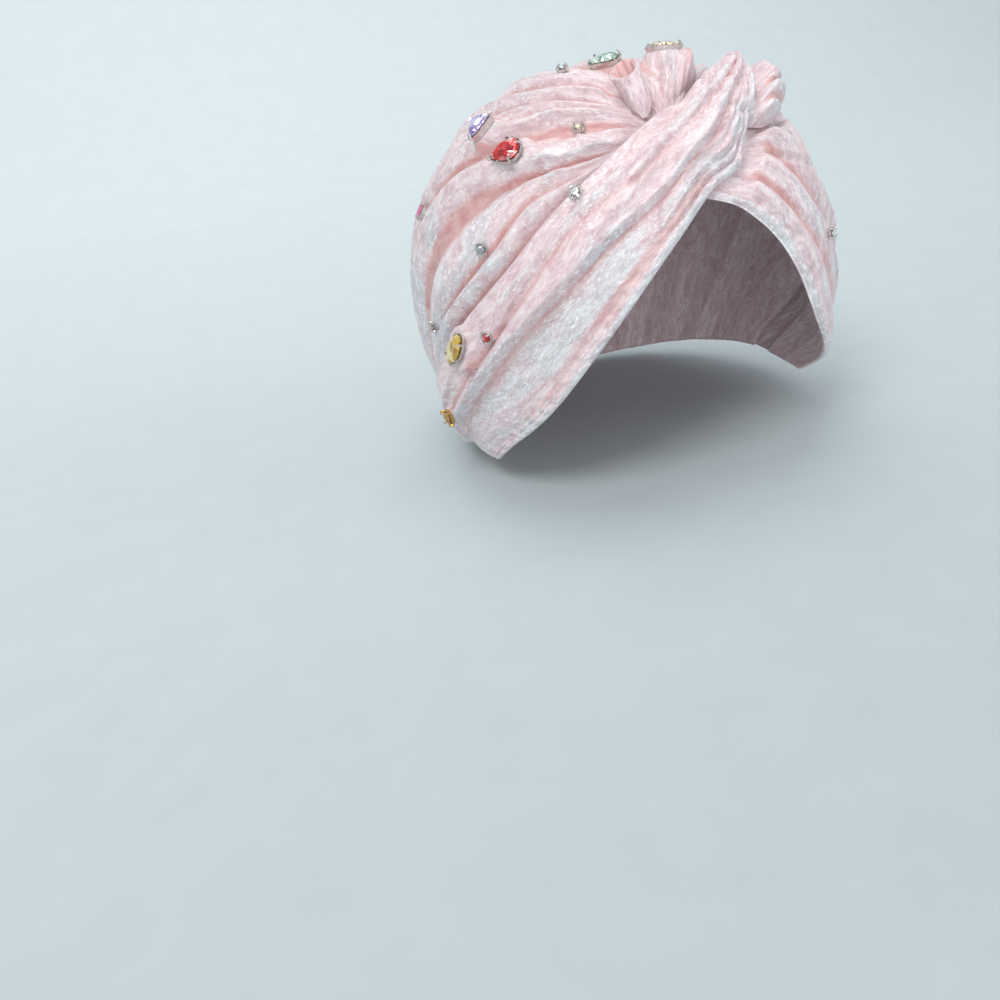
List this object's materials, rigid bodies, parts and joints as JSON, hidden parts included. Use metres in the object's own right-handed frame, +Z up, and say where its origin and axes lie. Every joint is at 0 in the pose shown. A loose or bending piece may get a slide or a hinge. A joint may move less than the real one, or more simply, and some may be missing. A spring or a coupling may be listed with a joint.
{
  "type": "turban headwrap",
  "caption": "Pre-tied turban headwrap in crushed velvet: pleated crown, two crossed front bands and a twisted knot, with sewn-on cut stones in claw cups.",
  "frame": {"origin": "middle of the head hollow at brow height, between the sides of the head", "axes": "+Z up along the wearer's head, -Y out of the face opening, +X to the wearer's left"},
  "size_m": [0.1828, 0.1892, 0.1571],
  "materials": {
    "velvet": "pale pink crushed velvet with a shifting sheen",
    "setting_metal": "bright silver-toned cups and claws",
    "lavender_glass": "polished faceted glass stone",
    "red_glass": "polished faceted glass stone",
    "amber_glass": "polished faceted glass stone",
    "fuchsia_glass": "polished faceted glass stone",
    "green_glass": "polished faceted glass stone",
    "champagne_glass": "polished faceted glass stone",
    "brown_glass": "polished faceted glass stone",
    "clear_glass": "polished faceted glass stone",
    "grey_glass": "polished faceted glass stone"
  },
  "bodies": {
    "root": {"crown_cap": "velvet", "left_band": "velvet", "right_band": "velvet", "twist_knot": "velvet", "lavender_gem": "lavender_glass", "lavender_setting": "setting_metal", "red_pear_gem": "red_glass", "red_pear_setting": "setting_metal", "amber_gem": "amber_glass", "amber_setting": "setting_metal", "fuchsia_gem": "fuchsia_glass", "fuchsia_setting": "setting_metal", "pale_green_gem": "green_glass", "pale_green_setting": "setting_metal", "champagne_gem": "champagne_glass", "champagne_setting": "setting_metal", "amber_round_gem": "brown_glass", "amber_round_setting": "setting_metal", "small_champagne_gem": "champagne_glass", "small_champagne_setting": "setting_metal", "small_clear_band_gem": "clear_glass", "small_clear_band_setting": "setting_metal", "small_clear_side_gem": "clear_glass", "small_clear_side_setting": "setting_metal", "small_red_gem": "red_glass", "small_red_setting": "setting_metal", "small_grey_gem": "grey_glass", "small_grey_setting": "setting_metal", "small_clear_left_gem": "clear_glass", "small_clear_left_setting": "setting_metal", "small_clear_top_gem": "clear_glass", "small_clear_top_setting": "setting_metal", "left_violet_gem": "lavender_glass", "left_violet_setting": "setting_metal", "back_red_gem": "red_glass", "back_red_setting": "setting_metal"}
  },
  "joints": []
}
